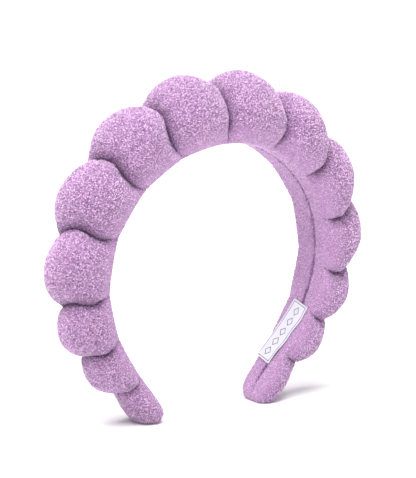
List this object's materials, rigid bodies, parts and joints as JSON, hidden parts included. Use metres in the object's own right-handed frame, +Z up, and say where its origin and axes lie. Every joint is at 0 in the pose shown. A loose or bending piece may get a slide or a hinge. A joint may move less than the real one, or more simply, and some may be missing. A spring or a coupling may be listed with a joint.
{
  "type": "spa headband",
  "caption": "Padded towelling headband: an open spring hoop under a row of cinched puffs that taper from the crown to two blunt tips, with a woven tab inside.",
  "frame": {"origin": "on the surface that the two tips stand on, under the middle of the crown and midway between front and back", "axes": "+Z up through the crown; +X to the right along the band's plane, from tip to tip; +Y to the back, across the band's width"},
  "size_m": [0.1826, 0.0394, 0.166],
  "materials": {
    "towelling": "lilac cotton towelling with a short looped pile",
    "filling": "soft off-white sponge",
    "spring_plastic": "satin moulded plastic",
    "sewing_thread": "twisted polyester thread, a shade darker than the cloth",
    "woven_tab": "flat woven ribbon with a thin border and a row of small outline diamonds"
  },
  "bodies": {
    "crown": {"cover_left_1": "towelling", "cover_right_1": "towelling", "filling_left_1": "filling", "filling_right_1": "filling", "hoop_crown": "spring_plastic", "seam_thread_crown": "sewing_thread", "cinch_thread_crown": "sewing_thread", "cinch_thread_left_1": "sewing_thread", "cinch_thread_right_1": "sewing_thread"},
    "left_2": {"cover_left_2": "towelling", "filling_left_2": "filling", "hoop_left_2": "spring_plastic", "seam_thread_left_2": "sewing_thread", "cinch_thread_left_2": "sewing_thread"},
    "left_3": {"cover_left_3": "towelling", "filling_left_3": "filling", "hoop_left_3": "spring_plastic", "seam_thread_left_3": "sewing_thread", "cinch_thread_left_3": "sewing_thread"},
    "left_4": {"cover_left_4": "towelling", "filling_left_4": "filling", "hoop_left_4": "spring_plastic", "seam_thread_left_4": "sewing_thread", "cinch_thread_left_4": "sewing_thread"},
    "left_leg": {"cover_left_5": "towelling", "cover_left_6": "towelling", "cover_left_7": "towelling", "filling_left_5": "filling", "filling_left_6": "filling", "filling_left_7": "filling", "hoop_left_leg": "spring_plastic", "seam_thread_left_leg": "sewing_thread", "cinch_thread_left_5": "sewing_thread", "cinch_thread_left_6": "sewing_thread"},
    "right_2": {"cover_right_2": "towelling", "filling_right_2": "filling", "hoop_right_2": "spring_plastic", "seam_thread_right_2": "sewing_thread", "cinch_thread_right_2": "sewing_thread"},
    "right_3": {"cover_right_3": "towelling", "filling_right_3": "filling", "hoop_right_3": "spring_plastic", "seam_thread_right_3": "sewing_thread", "cinch_thread_right_3": "sewing_thread"},
    "right_4": {"cover_right_4": "towelling", "filling_right_4": "filling", "hoop_right_4": "spring_plastic", "seam_thread_right_4": "sewing_thread", "cinch_thread_right_4": "sewing_thread"},
    "right_leg": {"cover_right_5": "towelling", "cover_right_6": "towelling", "cover_right_7": "towelling", "filling_right_5": "filling", "filling_right_6": "filling", "filling_right_7": "filling", "hoop_right_leg": "spring_plastic", "seam_thread_right_leg": "sewing_thread", "cinch_thread_right_5": "sewing_thread", "cinch_thread_right_6": "sewing_thread", "woven_tab": "woven_tab"}
  },
  "joints": [
    {"name": "left_flex_1", "type": "hinge", "parent": "crown", "child": "left_2", "pos_m": [-0.02668, 0, 0.13231], "axis": [0, 1, 0], "range_deg": [-2.5, 5.5], "stiffness_Nm_per_rad": 3.2},
    {"name": "left_flex_2", "type": "hinge", "parent": "left_2", "child": "left_3", "pos_m": [-0.04934, 0, 0.11718], "axis": [0, 1, 0], "range_deg": [-2.25, 4.95], "stiffness_Nm_per_rad": 3},
    {"name": "left_flex_3", "type": "hinge", "parent": "left_3", "child": "left_4", "pos_m": [-0.06397, 0, 0.0935], "axis": [0, 1, 0], "range_deg": [-1.88, 4.12], "stiffness_Nm_per_rad": 2.8},
    {"name": "left_flex_4", "type": "hinge", "parent": "left_4", "child": "left_leg", "pos_m": [-0.06667, 0, 0.06527], "axis": [0, 1, 0], "range_deg": [-1.5, 3.3], "stiffness_Nm_per_rad": 2.6},
    {"name": "right_flex_1", "type": "hinge", "parent": "crown", "child": "right_2", "pos_m": [0.02717, 0, 0.13211], "axis": [0, -1, 0], "range_deg": [-2.5, 5.5], "stiffness_Nm_per_rad": 3.2},
    {"name": "right_flex_2", "type": "hinge", "parent": "right_2", "child": "right_3", "pos_m": [0.04934, 0, 0.11718], "axis": [0, -1, 0], "range_deg": [-2.25, 4.95], "stiffness_Nm_per_rad": 3},
    {"name": "right_flex_3", "type": "hinge", "parent": "right_3", "child": "right_4", "pos_m": [0.06343, 0, 0.095], "axis": [0, -1, 0], "range_deg": [-1.88, 4.12], "stiffness_Nm_per_rad": 2.8},
    {"name": "right_flex_4", "type": "hinge", "parent": "right_4", "child": "right_leg", "pos_m": [0.06706, 0, 0.06896], "axis": [0, -1, 0], "range_deg": [-1.5, 3.3], "stiffness_Nm_per_rad": 2.6}
  ],
  "couplings": [
    {"joint": "left_flex_2", "follows": "left_flex_1", "ratio": 0.9},
    {"joint": "left_flex_3", "follows": "left_flex_1", "ratio": 0.75},
    {"joint": "left_flex_4", "follows": "left_flex_1", "ratio": 0.6},
    {"joint": "right_flex_2", "follows": "right_flex_1", "ratio": 0.9},
    {"joint": "right_flex_3", "follows": "right_flex_1", "ratio": 0.75},
    {"joint": "right_flex_4", "follows": "right_flex_1", "ratio": 0.6}
  ]
}
